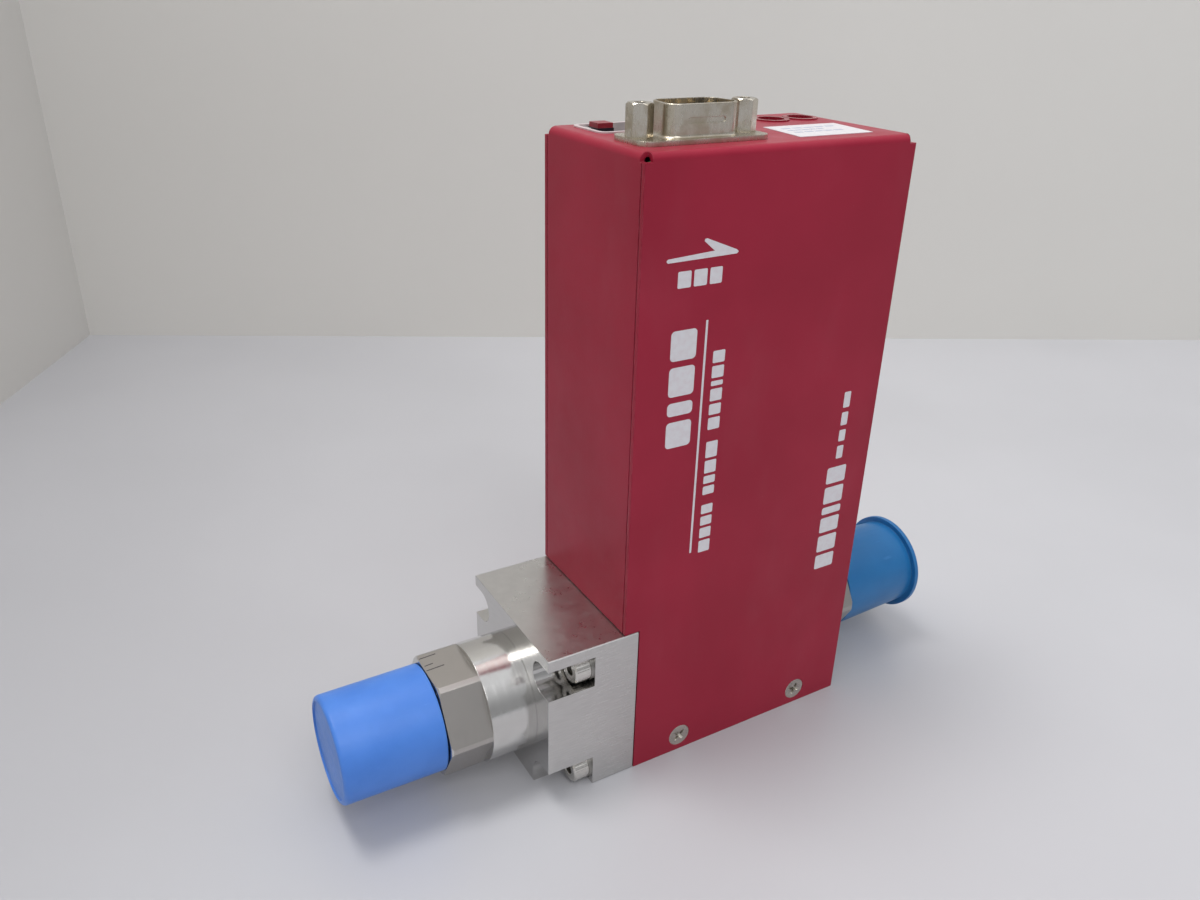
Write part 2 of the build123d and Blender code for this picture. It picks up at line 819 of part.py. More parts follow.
def make_connector_insulator():
    """Plastic block in the shell, standing on the top board."""
    outline = offset(d_outline(), -shell_wall - insulator_fit)
    face_height = cover_height + insulator_face
    body = at_connector() * Pos(0, 0, top_board_high) * extrude(outline, face_height - top_board_high)
    for place in pin_places():
        body -= place * post(pin_radius + pin_fit, top_board_high, face_height)
    return body


def make_connector_pins():
    """Nine round-tipped contacts that pass the insulator and the top board."""
    tip = shell_top - pin_tip_below_rim
    pin = post(pin_radius, top_board_low - pin_tail, tip)
    pin = chamfer(pin.edges().sort_by(Axis.Z)[-1], pin_radius / 2)
    return group(place * pin for place in pin_places())


def make_jackscrews():
    """Hexagon screw locks with a threaded hole above and a stud below."""
    high = flange_top + lock_height
    corner = lock_across / 3 ** 0.5
    lock = hex_post(lock_across, flange_top, high, 30)
    lock &= chamfer(post(corner, flange_top, high).edges().sort_by(Axis.Z)[-1], lock_chamfer)
    lock -= post(lock_thread_radius, high - lock_thread_depth, high)
    lock += post(lock_stud_radius, top_inside - lock_nut_height, flange_top)
    return group(place * lock for place in lock_places())


def make_jackscrew_nuts():
    nut = hex_post(lock_across, top_inside - lock_nut_height, top_inside, 30)
    nut -= post(lock_stud_radius + thread_fit, top_inside - lock_nut_height, top_inside)
    return group(place * nut for place in lock_places())


def make_window_bezel():
    """Pale rim on the cover with a short skirt through its cut-out."""
    rim = Pos(0, 0, cover_height) * extrude(window_outline(0, window_rim_corner), window_rim_height)
    skirt_inset = window_rim_width - window_skirt
    skirt = extrude(window_outline(skirt_inset, window_rim_corner - skirt_inset), window_skirt_depth)
    opening = extrude(window_outline(window_rim_width, window_rim_corner - window_rim_width),
                      window_skirt_depth + window_rim_height)
    low = Pos(0, 0, cover_height - window_skirt_depth)
    return rim + low * skirt - low * opening


def make_service_header():
    """Dark socket that stands on the top board in the window."""
    x, y = socket_place
    half, neck = socket_width / 2, socket_neck_width / 2
    body = block(x - half, x + half, y - half, y + half, top_board_high, cover_height)
    neck_top = cover_height + socket_neck_height
    return body + block(x - neck, x + neck, y - neck, y + neck, cover_height, neck_top)


def make_header_shunt():
    """Red cap pushed over the socket's neck."""
    x, y = socket_place
    half = shunt_width / 2
    neck = socket_neck_width / 2 + thread_fit
    body = block(x - half, x + half, y - half, y + half, cover_height, cover_height + shunt_height)
    pocket = block(x - neck, x + neck, y - neck, y + neck, cover_height, cover_height + socket_neck_height)
    return body - pocket


def make_light_pipe():
    """White guide that brings the status light up to the window."""
    x, y = pipe_place
    width, depth = pipe_size
    high = cover_height - pipe_below_top
    return block(x - width / 2, x + width / 2, y - depth / 2, y + depth / 2, top_board_high, high)


def make_hole_plugs():
    """Two cup plugs, open above, each with a thin lip on the cover."""
    outer = plug_hole_radius - plug_fit
    lip_top = cover_height + plug_lip_height
    cup = post(outer, cover_height - plug_depth, cover_height)
    cup += post(plug_hole_radius + plug_lip, cover_height, lip_top)
    cup -= post(outer - plug_wall, cover_height - plug_depth + plug_wall, lip_top)
    return group(Pos(x, y, 0) * cup for x, y in plug_places)


nodes = {
    "cover": make_cover,
    "cover_screws": make_cover_screws,
    "base_block": make_base_block,
    "inlet_block": make_inlet_block,
    "inlet_screws": make_inlet_screws,
    "inlet_washers": make_inlet_washers,
    "inlet_gasket": make_inlet_gasket,
    "inlet_filter": make_inlet_filter,
    "inlet_fitting": make_inlet_fitting,
    "outlet_fitting": make_outlet_fitting,
    "inlet_cap": make_inlet_cap,
    "outlet_cap": make_outlet_cap,
    "bypass_element": make_bypass_element,
    "sensor_base": make_sensor_base,
    "sensor_seals": make_sensor_seals,
    "sensor_screws": make_sensor_screws,
    "sensor_tube": make_sensor_tube,
    "sensor_windings": make_sensor_windings,
    "sensor_housing": make_sensor_housing,
    "valve_seat": make_valve_seat,
    "valve_spacer": make_valve_spacer,
    "valve_diaphragm": make_valve_diaphragm,
    "valve_housing": make_valve_housing,
    "valve_screws": make_valve_screws,
    "valve_plunger": make_valve_plunger,
    "piezo_stack": make_piezo_stack,
    "valve_adjuster": make_valve_adjuster,
    "valve_lock_nut": make_valve_lock_nut,
    "board_bracket": make_board_bracket,
    "bracket_screws": make_bracket_screws,
    "board_screws": make_board_screws,
    "main_board": make_main_board,
    "board_chips": make_board_chips,
    "board_header": make_board_header,
    "top_board": make_top_board,
    "connector_shell": make_connector_shell,
    "connector_insulator": make_connector_insulator,
    "connector_pins": make_connector_pins,
    "jackscrews": make_jackscrews,
    "jackscrew_nuts": make_jackscrew_nuts,
    "window_bezel": make_window_bezel,
    "service_header": make_service_header,
    "header_shunt": make_header_shunt,
    "light_pipe": make_light_pipe,
    "hole_plugs": make_hole_plugs,
}

os.makedirs("parts", exist_ok=True)
for name, make in nodes.items():
    export_step(make(), f"parts/{name}.step")
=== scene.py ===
import math
import bmesh
import bpy
import numpy as np
from mathutils import Matrix, Vector


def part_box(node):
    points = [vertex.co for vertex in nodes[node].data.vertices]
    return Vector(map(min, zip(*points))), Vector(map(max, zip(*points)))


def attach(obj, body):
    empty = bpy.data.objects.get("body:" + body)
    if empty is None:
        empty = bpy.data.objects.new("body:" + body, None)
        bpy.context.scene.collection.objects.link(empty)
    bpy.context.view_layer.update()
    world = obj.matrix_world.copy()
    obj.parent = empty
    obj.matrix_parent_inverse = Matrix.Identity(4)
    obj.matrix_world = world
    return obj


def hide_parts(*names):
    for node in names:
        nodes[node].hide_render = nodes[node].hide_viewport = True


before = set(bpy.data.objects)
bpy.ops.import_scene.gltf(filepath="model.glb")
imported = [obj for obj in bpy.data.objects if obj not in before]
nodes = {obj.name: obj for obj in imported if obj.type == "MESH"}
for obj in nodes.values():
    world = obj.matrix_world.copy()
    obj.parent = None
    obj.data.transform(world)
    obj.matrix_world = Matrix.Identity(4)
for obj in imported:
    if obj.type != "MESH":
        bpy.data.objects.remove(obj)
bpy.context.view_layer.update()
mm = 0.001


# Cover
# One sheet of steel bent down on four sides and coated semi-gloss red, with a fine orange peel.
# It sits over the gas blocks; its cut edges carry a thin painted highlight, paler red in wear-like patches.
def new_material(name):
    """Empty node material: its tree and its Principled shader."""
    material = bpy.data.materials.new(name)
    material.use_nodes = True
    tree = material.node_tree
    tree.nodes.clear()
    out = tree.nodes.new("ShaderNodeOutputMaterial")
    shader = tree.nodes.new("ShaderNodeBsdfPrincipled")
    tree.links.new(shader.outputs["BSDF"], out.inputs["Surface"])
    return material, tree, shader


def add(tree, kind, inputs=None, **settings):
    """One node with its settings and its input values; an input that is a socket gets linked."""
    node = tree.nodes.new(kind)
    for key, value in settings.items():
        setattr(node, key, value)
    for key, value in (inputs or {}).items():
        join(tree, value, node.inputs[key])
    return node


def join(tree, value, socket):
    """Link a socket to a socket, or write a plain value on it."""
    if isinstance(value, bpy.types.NodeSocket):
        tree.links.new(value, socket)
    else:
        socket.default_value = value


def maths(tree, operation, a, b=0.0, clamp=False):
    """One Math node; gives its output socket."""
    node = add(tree, "ShaderNodeMath", operation=operation, use_clamp=clamp)
    join(tree, a, node.inputs[0])
    join(tree, b, node.inputs[1])
    return node.outputs[0]


def blend_colours(tree, factor, a, b):
    """Mix of two colours by a factor; gives its output socket."""
    node = add(tree, "ShaderNodeMix", data_type="RGBA")
    join(tree, factor, node.inputs[0])
    join(tree, a, node.inputs[6])
    join(tree, b, node.inputs[7])
    return node.outputs[2]


def blend_values(tree, factor, a, b):
    """Mix of two values by a factor; gives its output socket."""
    node = add(tree, "ShaderNodeMix", data_type="FLOAT")
    join(tree, factor, node.inputs[0])
    join(tree, a, node.inputs[2])
    join(tree, b, node.inputs[3])
    return node.outputs[0]


def span(tree, value, low, high, to_low=0.0, to_high=1.0, smooth=True):
    """Map Range from one span of values to another, clamped."""
    node = add(tree, "ShaderNodeMapRange", interpolation_type="SMOOTHSTEP" if smooth else "LINEAR")
    for key, number in (("Value", value), ("From Min", low), ("From Max", high),
                        ("To Min", to_low), ("To Max", to_high)):
        join(tree, number, node.inputs[key])
    return node.outputs[0]


def place_of(tree, stretch=(1.0, 1.0, 1.0)):
    """Object coordinates, squeezed along an axis where a grain runs."""
    coordinates = add(tree, "ShaderNodeTexCoord")
    mapping = add(tree, "ShaderNodeMapping", {"Vector": coordinates.outputs["Object"], "Scale": stretch})
    return mapping.outputs["Vector"]


def noise(tree, place, scale, detail=2.0, roughness=0.5):
    """Noise value over a place."""
    node = add(tree, "ShaderNodeTexNoise", {"Vector": place, "Scale": scale, "Detail": detail,
                                            "Roughness": roughness})
    return node.outputs["Fac"]


def effect_group(name, inputs, outputs):
    """Empty node group with named float or colour sockets; gives the group, its entry and its exit."""
    group = bpy.data.node_groups.new(name, "ShaderNodeTree")
    for label, kind in inputs:
        group.interface.new_socket(name=label, in_out="INPUT", socket_type=kind)
    for label, kind in outputs:
        group.interface.new_socket(name=label, in_out="OUTPUT", socket_type=kind)
    return group, group.nodes.new("NodeGroupInput"), group.nodes.new("NodeGroupOutput")


def use(tree, group, **values):
    """Place an effect group in a material with its own values."""
    node = add(tree, "ShaderNodeGroup", node_tree=group)
    for key, value in values.items():
        join(tree, value, node.inputs[key])
    return node.outputs


def make_edge_highlight_and_wear():
    """Mask that is 1 where a rounded copy of the normal leaves the true one, broken up by noise; a colour
    that follows it is a painted edge highlight in wear-like patches.
    """
    group, entry, leave = effect_group(
        "edge highlight and wear", [("Radius", "NodeSocketFloat"), ("Breakup", "NodeSocketFloat")],
        [("Mask", "NodeSocketFloat"), ("Normal", "NodeSocketVector")])
    bevel = add(group, "ShaderNodeBevel", {"Radius": entry.outputs["Radius"]}, samples=4)
    geometry = add(group, "ShaderNodeNewGeometry")
    facing = add(group, "ShaderNodeVectorMath",
                 {0: bevel.outputs["Normal"], 1: geometry.outputs["True Normal"]}, operation="DOT_PRODUCT")
    turned = maths(group, "SUBTRACT", 1.0, facing.outputs["Value"], clamp=True)
    patches = noise(group, place_of(group), entry.outputs["Breakup"], 3.0)
    edge = span(group, turned, 0.02, 0.16)
    join(group, maths(group, "MULTIPLY", edge, span(group, patches, 0.36, 0.6)), leave.inputs["Mask"])
    join(group, bevel.outputs["Normal"], leave.inputs["Normal"])
    return group


def make_fine_dust():
    """Sparse pale specks and faint smears, as handled goods pick up."""
    group, entry, leave = effect_group(
        "fine dust", [("Amount", "NodeSocketFloat")], [("Mask", "NodeSocketFloat")])
    place = place_of(group)
    specks = add(group, "ShaderNodeTexVoronoi", {"Vector": place, "Scale": 900.0, "Randomness": 1.0})
    dots = span(group, specks.outputs["Distance"], 0.05, 0.16, 1.0, 0.0)
    where = span(group, noise(group, place, 140.0, 2.0), 0.55, 0.75)
    smear = span(group, noise(group, place_of(group, (1.0, 1.0, 0.35)), 60.0, 4.0, 0.6), 0.5, 0.8)
    both = maths(group, "ADD", maths(group, "MULTIPLY", dots, where), maths(group, "MULTIPLY", smear, 0.35))
    join(group, maths(group, "MULTIPLY", both, entry.outputs["Amount"], clamp=True), leave.inputs["Mask"])
    return group


edge_highlight_and_wear = make_edge_highlight_and_wear()
fine_dust = make_fine_dust()


def bump(tree, height, distance, normal=None):
    """Bump from a height map, in metres."""
    node = add(tree, "ShaderNodeBump", {"Height": height, "Distance": distance, "Strength": 1.0})
    if normal is not None:
        join(tree, normal, node.inputs["Normal"])
    return node.outputs["Normal"]


def red_coat():
    """Semi-gloss red coat with orange peel, slight cloudiness, specks, and paler edges from a painted
    highlight in wear-like patches.
    """
    material, tree, shader = new_material("red coat")
    place = place_of(tree)
    cloud = noise(tree, place, 35.0, 3.0)
    base = blend_colours(tree, span(tree, cloud, 0.3, 0.7), (0.30, 0.014, 0.036, 1), (0.34, 0.017, 0.043, 1))
    edges = use(tree, edge_highlight_and_wear, Radius=0.35 * mm, Breakup=420.0)
    # Paler red along the edges: a painted edge highlight, broken into wear-like patches.
    edge_highlight_colour = blend_colours(tree, maths(tree, "MULTIPLY", edges["Mask"], 0.4), base, (0.58, 0.12, 0.16, 1))
    dust = use(tree, fine_dust, Amount=0.1)["Mask"]
    join(tree, blend_colours(tree, dust, edge_highlight_colour, (0.55, 0.3, 0.32, 1)), shader.inputs["Base Color"])
    rough = span(tree, noise(tree, place, 180.0, 3.0), 0.3, 0.7, 0.3, 0.4, smooth=False)
    join(tree, maths(tree, "ADD", rough, maths(tree, "MULTIPLY", dust, 0.2)), shader.inputs["Roughness"])
    peel = noise(tree, place, 1100.0, 2.0)
    join(tree, bump(tree, peel, 0.012 * mm, edges["Normal"]), shader.inputs["Normal"])
    shader.inputs["Specular IOR Level"].default_value = 0.2
    return material


def paint(node_name, material):
    """Give a CAD node its material on every slot."""
    data = nodes[node_name].data
    data.materials.clear()
    data.materials.append(material)


paint("cover", red_coat())


# Print on the front of the cover
# White screen print: a half arrow, a long rule and blocks of plain bars where lettering would be.
# Each shape is a film of ink a few hundredths of a millimetre thick on the coat.
cover_low, cover_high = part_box("cover")
ink_thickness = 0.03 * mm
film_lift = 0.002 * mm
least_flat = 0.01
word_radius = 0.3
ink_colour = (0.72, 0.71, 0.74, 1)


def prism(outlines, to_space, low, high):
    """Closed films: each flat outline is carried from one height to another and capped at both."""
    points, faces = [], []
    for outline in outlines:
        flat = np.array(outline, float)
        count = len(flat)
        start = sum(len(p) for p in points)
        for level in (low, high):
            points.append(np.column_stack([flat, np.full(count, level)]))
        index = np.arange(count)
        ahead = (index + 1) % count
        faces.append(tuple(start + count + index))
        faces.append(tuple(start + index[::-1]))
        faces.extend(map(tuple, np.column_stack([start + index, start + ahead, start + count + ahead,
                                                 start + count + index])))
    return to_space(np.vstack(points)), faces


def new_piece(name, points, faces, material):
    """A flat-shaded mesh piece from computed points and faces, with its material."""
    data = bpy.data.meshes.new(name)
    data.from_pydata(points.tolist(), [], [tuple(int(i) for i in face) for face in faces])
    data.validate()
    data.materials.append(material)
    data.update()
    piece = bpy.data.objects.new(name, data)
    bpy.context.scene.collection.objects.link(piece)
    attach(piece, "root")
    return piece


def round_box(x0, x1, z0, z1, radius, steps=4):
    """Outline of a rectangle with rounded corners: an arc about each inset corner."""
    turn = np.linspace(0, math.pi / 2, steps + 1)
    corners = ((x1 - radius, z1 - radius, 0), (x0 + radius, z1 - radius, 1),
               (x0 + radius, z0 + radius, 2), (x1 - radius, z0 + radius, 3))
    return np.vstack([np.column_stack([x + radius * np.cos(turn + k * math.pi / 2),
                                       z + radius * np.sin(turn + k * math.pi / 2)]) for x, z, k in corners])


def on_front(points):
    """From inlet edge, height and depth in millimetres to the front face, whose outside looks along -Y."""
    return np.column_stack([cover_low.x + points[:, 0] * mm, cover_low.y - points[:, 2], points[:, 1] * mm])


def ink_on_coat():
    """Matt white ink, a little thin in places so that the red tints it."""
    material, tree, shader = new_material("white ink")
    thin = span(tree, noise(tree, place_of(tree), 700.0, 3.0), 0.35, 0.7)
    tinted = blend_colours(tree, maths(tree, "MULTIPLY", thin, 0.22), ink_colour, (0.6, 0.45, 0.49, 1))
    join(tree, tinted, shader.inputs["Base Color"])
    join(tree, span(tree, thin, 0.0, 1.0, 0.42, 0.55), shader.inputs["Roughness"])
    return material


def bars(edges, low, high, radius):
    """Row of bars up the face: (bottom, top) of each, all between two distances from the inlet edge."""
    return [round_box(low, high, bottom, top, min(radius, (top - bottom) / 2 - least_flat))
            for bottom, top in edges]


arrow = np.array([(6.2, 126.95), (22.9, 127.2), (23.3, 127.6), (22.8, 128.05), (15.3, 131.0), (14.75, 130.95),
                  (14.65, 130.5), (17.3, 128.35), (6.2, 127.75), (5.85, 127.35)])
word_bars = [round_box(left, right, 121.6, 125.0, word_radius)
             for left, right in ((8.8, 12.0), (12.7, 15.9), (16.6, 19.6))]
rule = [round_box(16.45, 16.98, 58.5, 114.1, 0.1)]
large_blocks = bars(((86.6, 92.6), (94.0, 97.0), (98.4, 104.9), (106.3, 112.8)), 8.0, 14.4, 0.9)
small_words = bars(((57.9, 61.0), (61.7, 64.3), (65.0, 67.3), (68.0, 70.3), (72.9, 75.0), (75.7, 77.6),
                    (78.3, 81.4), (82.1, 86.0), (88.9, 91.7), (92.4, 94.9), (95.6, 98.4), (99.1, 100.2),
                    (100.9, 103.6), (104.3, 107.0)), 18.9, 22.0, word_radius)
wide_words = bars(((42.0, 46.0), (47.0, 51.6), (52.6, 56.8), (57.8, 59.8), (60.8, 65.4), (66.4, 70.8)),
                  56.3, 62.3, 0.5)
thin_words = bars(((73.0, 76.4), (77.6, 80.6), (81.8, 85.2), (86.4, 90.4)), 58.4, 60.4, word_radius)
print_points, print_faces = prism(
    [arrow] + word_bars + rule + large_blocks + small_words + wide_words + thin_words,
    on_front, film_lift, ink_thickness)
new_piece("front_print", print_points, print_faces, ink_on_coat())


# Gas blocks
# Stainless bar stock, ground with a fine straight grain on the sides and top.
# The inlet block's end face and its four screw slots are polished bright.
def make_ground_grain():
    """Straight grinding lines: noise squeezed along the grain at two widths."""
    group, entry, leave = effect_group(
        "ground grain", [("Place", "NodeSocketVector"), ("Scale", "NodeSocketFloat")],
        [("Height", "NodeSocketFloat"), ("Tone", "NodeSocketFloat")])
    coarse = noise(group, entry.outputs["Place"], entry.outputs["Scale"], 2.0)
    fine_scale = maths(group, "MULTIPLY", entry.outputs["Scale"], 3.7)
    fine = noise(group, entry.outputs["Place"], fine_scale, 3.0, 0.7)
    coarse_part, fine_part = maths(group, "MULTIPLY", coarse, 0.45), maths(group, "MULTIPLY", fine, 0.55)
    join(group, maths(group, "ADD", coarse_part, fine_part), leave.inputs["Height"])
    join(group, span(group, coarse, 0.3, 0.7), leave.inputs["Tone"])
    return group


ground_grain = make_ground_grain()
inlet_low, inlet_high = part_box("inlet_block")
slot_reach = 7.9 * mm
slot_length = 12.1 * mm
grain_depth = 0.0022 * mm
polished_roughness = 0.13
grain_polished_away = 0.93


def ground_steel(name, tint, stretch, scale, roughness, polish=None):
    """Stainless with a grain; polish may be a function that gives a mask of the bright places."""
    material, tree, shader = new_material(name)
    grain = use(tree, ground_grain, Place=place_of(tree, stretch), Scale=scale)
    edges = use(tree, edge_highlight_and_wear, Radius=0.2 * mm, Breakup=300.0)
    cloud = noise(tree, place_of(tree), 90.0, 4.0, 0.6)
    dark = tuple(c * 0.86 for c in tint[:3]) + (1,)
    tone = blend_colours(tree, maths(tree, "MULTIPLY", grain["Tone"], 0.5), tint, dark)
    tone = blend_colours(tree, span(tree, cloud, 0.55, 0.8, 0.0, 0.35), tone, dark)
    join(tree, tone, shader.inputs["Base Color"])
    shader.inputs["Metallic"].default_value = 1.0
    rough = span(tree, grain["Height"], 0.3, 0.7, roughness - 0.06, roughness + 0.06, smooth=False)
    rough = maths(tree, "ADD", rough, span(tree, cloud, 0.45, 0.75, 0.0, 0.06))
    height = grain["Height"]
    if polish is not None:
        bright = polish(tree)
        rough = blend_values(tree, bright, rough, polished_roughness)
        left = maths(tree, "SUBTRACT", 1.0, maths(tree, "MULTIPLY", bright, grain_polished_away))
        height = maths(tree, "MULTIPLY", height, left)
    join(tree, rough, shader.inputs["Roughness"])
    join(tree, bump(tree, height, grain_depth, edges["Normal"]), shader.inputs["Normal"])
    return material


def polished_end(tree):
    """1 on faces that look along -X at the block's end, and inside its slots' reach."""
    geometry = add(tree, "ShaderNodeNewGeometry")
    normal = add(tree, "ShaderNodeSeparateXYZ", {"Vector": geometry.outputs["True Normal"]})
    place = add(tree, "ShaderNodeSeparateXYZ", {"Vector": place_of(tree)})
    end = span(tree, normal.outputs["X"], -0.98, -0.9, 1.0, 0.0)
    half_depth = inlet_high.y - slot_reach
    inner = maths(tree, "LESS_THAN", maths(tree, "ABSOLUTE", place.outputs["Y"]), inlet_high.y - 0.1 * mm)
    slotted = maths(tree, "GREATER_THAN", maths(tree, "ABSOLUTE", place.outputs["Y"]), half_depth)
    below_top = maths(tree, "LESS_THAN", place.outputs["Z"], inlet_high.z - 0.4 * mm)
    before_seat = maths(tree, "LESS_THAN", place.outputs["X"], inlet_low.x + slot_length)
    slots = maths(tree, "MULTIPLY", maths(tree, "MULTIPLY", inner, slotted),
                  maths(tree, "MULTIPLY", below_top, before_seat))
    return maths(tree, "MAXIMUM", end, slots)


steel_tint = (0.62, 0.61, 0.595, 1)
paint("inlet_block", ground_steel("ground block", steel_tint, (1.0, 1.0, 14.0), 260.0, 0.3, polished_end))
paint("base_block", ground_steel("ground base", steel_tint, (14.0, 1.0, 1.0), 260.0, 0.32))


# Long screws of the inlet block
# Four socket head cap screws with lightly knurled heads, each on a plain washer tinted dark as painted shade
# of the slot seat.
# They lie in the block's slots and pull it against the base.
screw_head_radius = 3.5
screw_head_height = 4.0
screw_shank_radius = 2.0
hexagon_socket_radius = 1.73
hexagon_socket_depth = 2.0
socket_chamfer = 0.12
head_round = 0.4
knurl_height = 0.022
knurl_waves = 36
tip_chamfer = 0.3
head_steps = 144


def revolve_rings(radii, heights, count, shape):
    """Closed surface of revolution about Z: rings of given radius and height, both ends shrunk to a point.
    shape changes the grids of radius and height as a function of angle."""
    angle = np.linspace(0, 2 * math.pi, count, endpoint=False)
    radius = np.repeat(np.array(radii, float)[:, None], count, axis=1)
    height = np.repeat(np.array(heights, float)[:, None], count, axis=1)
    radius, height = shape(angle, radius, height)
    grid = np.stack([radius * np.cos(angle), radius * np.sin(angle), height], axis=-1)
    rings = len(radii)
    body = grid[1:-1].reshape(-1, 3)
    points = np.vstack([grid[0].mean(0), body, grid[-1].mean(0)])
    index = np.arange(count)
    ahead = (index + 1) % count
    faces = [(0, 1 + a, 1 + b) for a, b in zip(ahead, index)]
    for ring in range(rings - 3):
        here, there = 1 + ring * count, 1 + (ring + 1) * count
        faces.extend(map(tuple, np.column_stack([here + index, here + ahead, there + ahead, there + index])))
    last = 1 + (rings - 3) * count
    faces.extend((len(points) - 1, last + a, last + b) for a, b in zip(index, ahead))
    return points, faces


def several(points, faces, places):
    """Copies of one mesh under several matrices, as one set of points and faces."""
    everything, all_faces = [], []
    for matrix in places:
        start = sum(len(p) for p in everything)
        turn = np.array(matrix.to_3x3())
        everything.append(points @ turn.T + np.array(matrix.translation))
        all_faces.extend(tuple(start + i for i in face) for face in faces)
    return np.vstack(everything), all_faces


def outward(piece):
    """Merge doubles and turn every face outwards."""
    mesh = bmesh.new()
    mesh.from_mesh(piece.data)
    bmesh.ops.remove_doubles(mesh, verts=mesh.verts, dist=1e-7)
    bmesh.ops.recalc_face_normals(mesh, faces=mesh.faces)
    mesh.to_mesh(piece.data)
    mesh.free()
    return piece


def smooth_by_angle(piece, degrees=30):
    """Smooth faces, with sharp edges kept where the surface turns more than the angle."""
    piece.data.polygons.foreach_set("use_smooth", [True] * len(piece.data.polygons))
    piece.data.set_sharp_from_angle(angle=math.radians(degrees))
    return piece


def socket_head_rings():
    """Cap screw of M4: domed recess, hexagon socket, chamfer, knurled side, underside and shank."""
    head, height, shank = screw_head_radius, screw_head_height, screw_shank_radius
    socket, depth = hexagon_socket_radius, hexagon_socket_depth
    length = (screws_high.x - screws_low.x) / mm - height
    radii = [0, socket * 0.5, socket, socket, socket + socket_chamfer, 2.85, 3.1,
             head, head, head, head, head - 0.05, shank, shank, shank - tip_chamfer, 0]
    heights = [height - depth, height - depth, height - depth, height - socket_chamfer,
               height, height, height, height - head_round, height * 0.66, height * 0.33, 0.3, 0, 0,
               -length + tip_chamfer, -length, -length]

    def shape(angle, radius, level):
        """Socket rings follow a hexagon; side rings carry the knurl's small waves."""
        hexagon = math.cos(math.pi / 6) / np.cos((angle + math.pi / 6) % (math.pi / 3) - math.pi / 6)
        radius[1:5] *= hexagon
        radius[7:11] += knurl_height * np.sign(np.sin(angle * knurl_waves))
        return radius, level

    return revolve_rings(radii, heights, head_steps, shape)


def bright_steel(name, tint, roughness):
    """Plated or bright machine-finished steel with fine scuffs and darker blotches."""
    material, tree, shader = new_material(name)
    scuff = noise(tree, place_of(tree, (1.0, 5.0, 1.0)), 900.0, 4.0, 0.65)
    blotch = noise(tree, place_of(tree), 220.0, 3.0)
    dark = tuple(c * 0.7 for c in tint[:3]) + (1,)
    tone = blend_colours(tree, span(tree, blotch, 0.45, 0.75, 0.0, 0.6), tint, dark)
    join(tree, tone, shader.inputs["Base Color"])
    shader.inputs["Metallic"].default_value = 1.0
    join(tree, span(tree, scuff, 0.3, 0.7, roughness - 0.05, roughness + 0.1, smooth=False),
         shader.inputs["Roughness"])
    edges = use(tree, edge_highlight_and_wear, Radius=0.12 * mm, Breakup=500.0)
    join(tree, bump(tree, scuff, 0.004 * mm, edges["Normal"]), shader.inputs["Normal"])
    return material


screws_low, screws_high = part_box("inlet_screws")
head_seat_x = screws_low.x + screw_head_height * mm
head_inset = screw_head_radius * mm
screw_places = [Matrix.Translation((head_seat_x, y, z)) @ Matrix.Rotation(-math.pi / 2, 4, "Y")
                for y in (screws_low.y + head_inset, screws_high.y - head_inset)
                for z in (screws_low.z + head_inset, screws_high.z - head_inset)]
cap_points, cap_faces = socket_head_rings()
cap_points, cap_faces = several(cap_points * mm, cap_faces, screw_places)
long_screws = new_piece("long_screws", cap_points, cap_faces,
                        bright_steel("bright screw", (0.68, 0.66, 0.62, 1), 0.2))
smooth_by_angle(outward(long_screws))
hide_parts("inlet_screws")
# The washers are half as bright as the screws: painted shade for the shadowed gap at each slot seat.
paint("inlet_washers", bright_steel("washer steel in painted shade", (0.34, 0.33, 0.31, 1), 0.32))


# Cover screws
# Four zinc-plated countersunk screws with a cross recess, flush in the cover's dimples.
# Their heads pull the sheet against the base block.
flat_head_radius = 3.0
flat_head_cone = 1.65
flat_head_shank = 1.5
flat_head_grip = 6.0
cross_reach = 1.75
cross_half_width = 0.42
cross_depth = 1.05
cross_wall_slope = 0.14
cross_taper = 0.45
rim_land = 0.12
flat_rings = 26
flat_tip_chamfer = 0.25
flat_steps = 120
twist_along_cover = 12


def cross_recess(x, y):
    """Depth of a cross below the head: full along its two wings, sloping at their sides and to their ends."""
    wing = np.minimum(np.abs(x), np.abs(y))
    along = np.maximum(np.abs(x), np.abs(y))
    side = np.clip((cross_half_width - wing) / cross_wall_slope, 0, 1)
    taper = np.clip((cross_reach - along) / (cross_reach * cross_taper), 0, 1)
    return cross_depth * side * taper


def countersunk_rings():
    """Head from its centre to its rim, cone to the shank, shank and tip."""
    shank, grip = flat_head_shank, flat_head_grip
    flat = np.linspace(0.0, flat_head_radius - rim_land, flat_rings)
    radii = list(flat) + [flat_head_radius, shank, shank, shank - flat_tip_chamfer, 0]
    heights = [0.0] * flat_rings + [-0.1, -flat_head_cone, -grip + flat_tip_chamfer, -grip, -grip]

    def shape(angle, radius, level):
        """The flat rings sink by the recess."""
        x, y = radius[:flat_rings] * np.cos(angle), radius[:flat_rings] * np.sin(angle)
        level[:flat_rings] -= cross_recess(x, y)
        return radius, level

    return revolve_rings(radii, heights, flat_steps, shape)


flush_low, flush_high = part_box("cover_screws")
flush_height = (flush_low.z + flush_high.z) / 2
head_inset = flat_head_radius * mm
cover_screw_places = [
    Matrix.Translation((x, y, flush_height)) @ Matrix.Rotation(turn, 4, "X")
    @ Matrix.Rotation(twist + x * twist_along_cover, 4, "Z")
    for x in (flush_low.x + head_inset, flush_high.x - head_inset)
    for y, turn, twist in ((flush_low.y, math.pi / 2, 0.9), (flush_high.y, -math.pi / 2, 0.35))]
sunk_points, sunk_faces = countersunk_rings()
sunk_points, sunk_faces = several(sunk_points * mm, sunk_faces, cover_screw_places)
flush_screws = new_piece("flush_screws", sunk_points, sunk_faces,
                         bright_steel("zinc", (0.60, 0.57, 0.51, 1), 0.28))
smooth_by_angle(outward(flush_screws), 25)
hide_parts("cover_screws")


